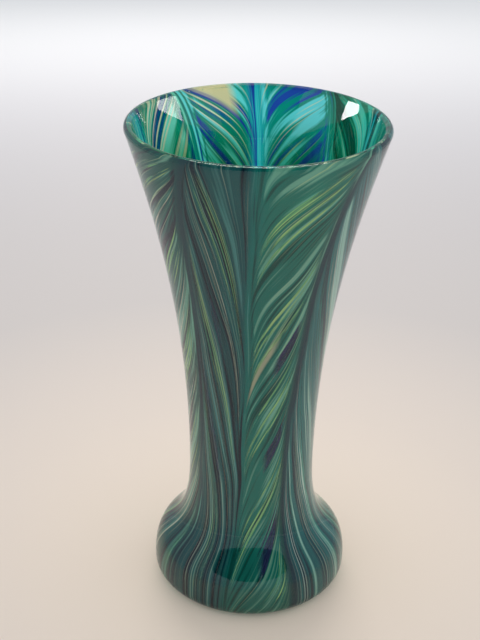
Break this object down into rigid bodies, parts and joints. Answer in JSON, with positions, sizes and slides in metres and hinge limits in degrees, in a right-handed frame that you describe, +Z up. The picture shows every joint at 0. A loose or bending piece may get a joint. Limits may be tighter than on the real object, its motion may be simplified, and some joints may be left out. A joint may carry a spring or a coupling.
{
  "type": "art glass vase",
  "caption": "Tall hand blown cased glass vase: rounded foot, slim waist and wide flared mouth, with feathered colour trails sealed between clear layers.",
  "frame": {"origin": "centre of the foot's standing ring, on the surface that the vase stands on", "axes": "+Z up along the vase's axis; the view from -Y is the front, +X to its right"},
  "size_m": [0.15, 0.15, 0.303],
  "materials": {
    "clear_glass": "fire polished clear glass",
    "emerald_glass": "dense emerald glass, sealed in clear glass",
    "teal_glass": "dense teal glass, sealed in clear glass",
    "turquoise_glass": "opal turquoise glass, sealed in clear glass",
    "cobalt_glass": "dense cobalt glass, sealed in clear glass",
    "lime_glass": "opal lime glass, sealed in clear glass",
    "ivory_glass": "opal ivory glass, sealed in clear glass",
    "amethyst_glass": "dense amethyst glass, sealed in clear glass"
  },
  "bodies": {
    "root": {"clear_casing": "clear_glass", "core_bubble": "clear_glass", "emerald_ground": "emerald_glass", "teal_trails": "teal_glass", "turquoise_trails": "turquoise_glass", "cobalt_trails": "cobalt_glass", "lime_trails": "lime_glass", "ivory_trails": "ivory_glass", "amethyst_trails": "amethyst_glass"}
  },
  "joints": []
}
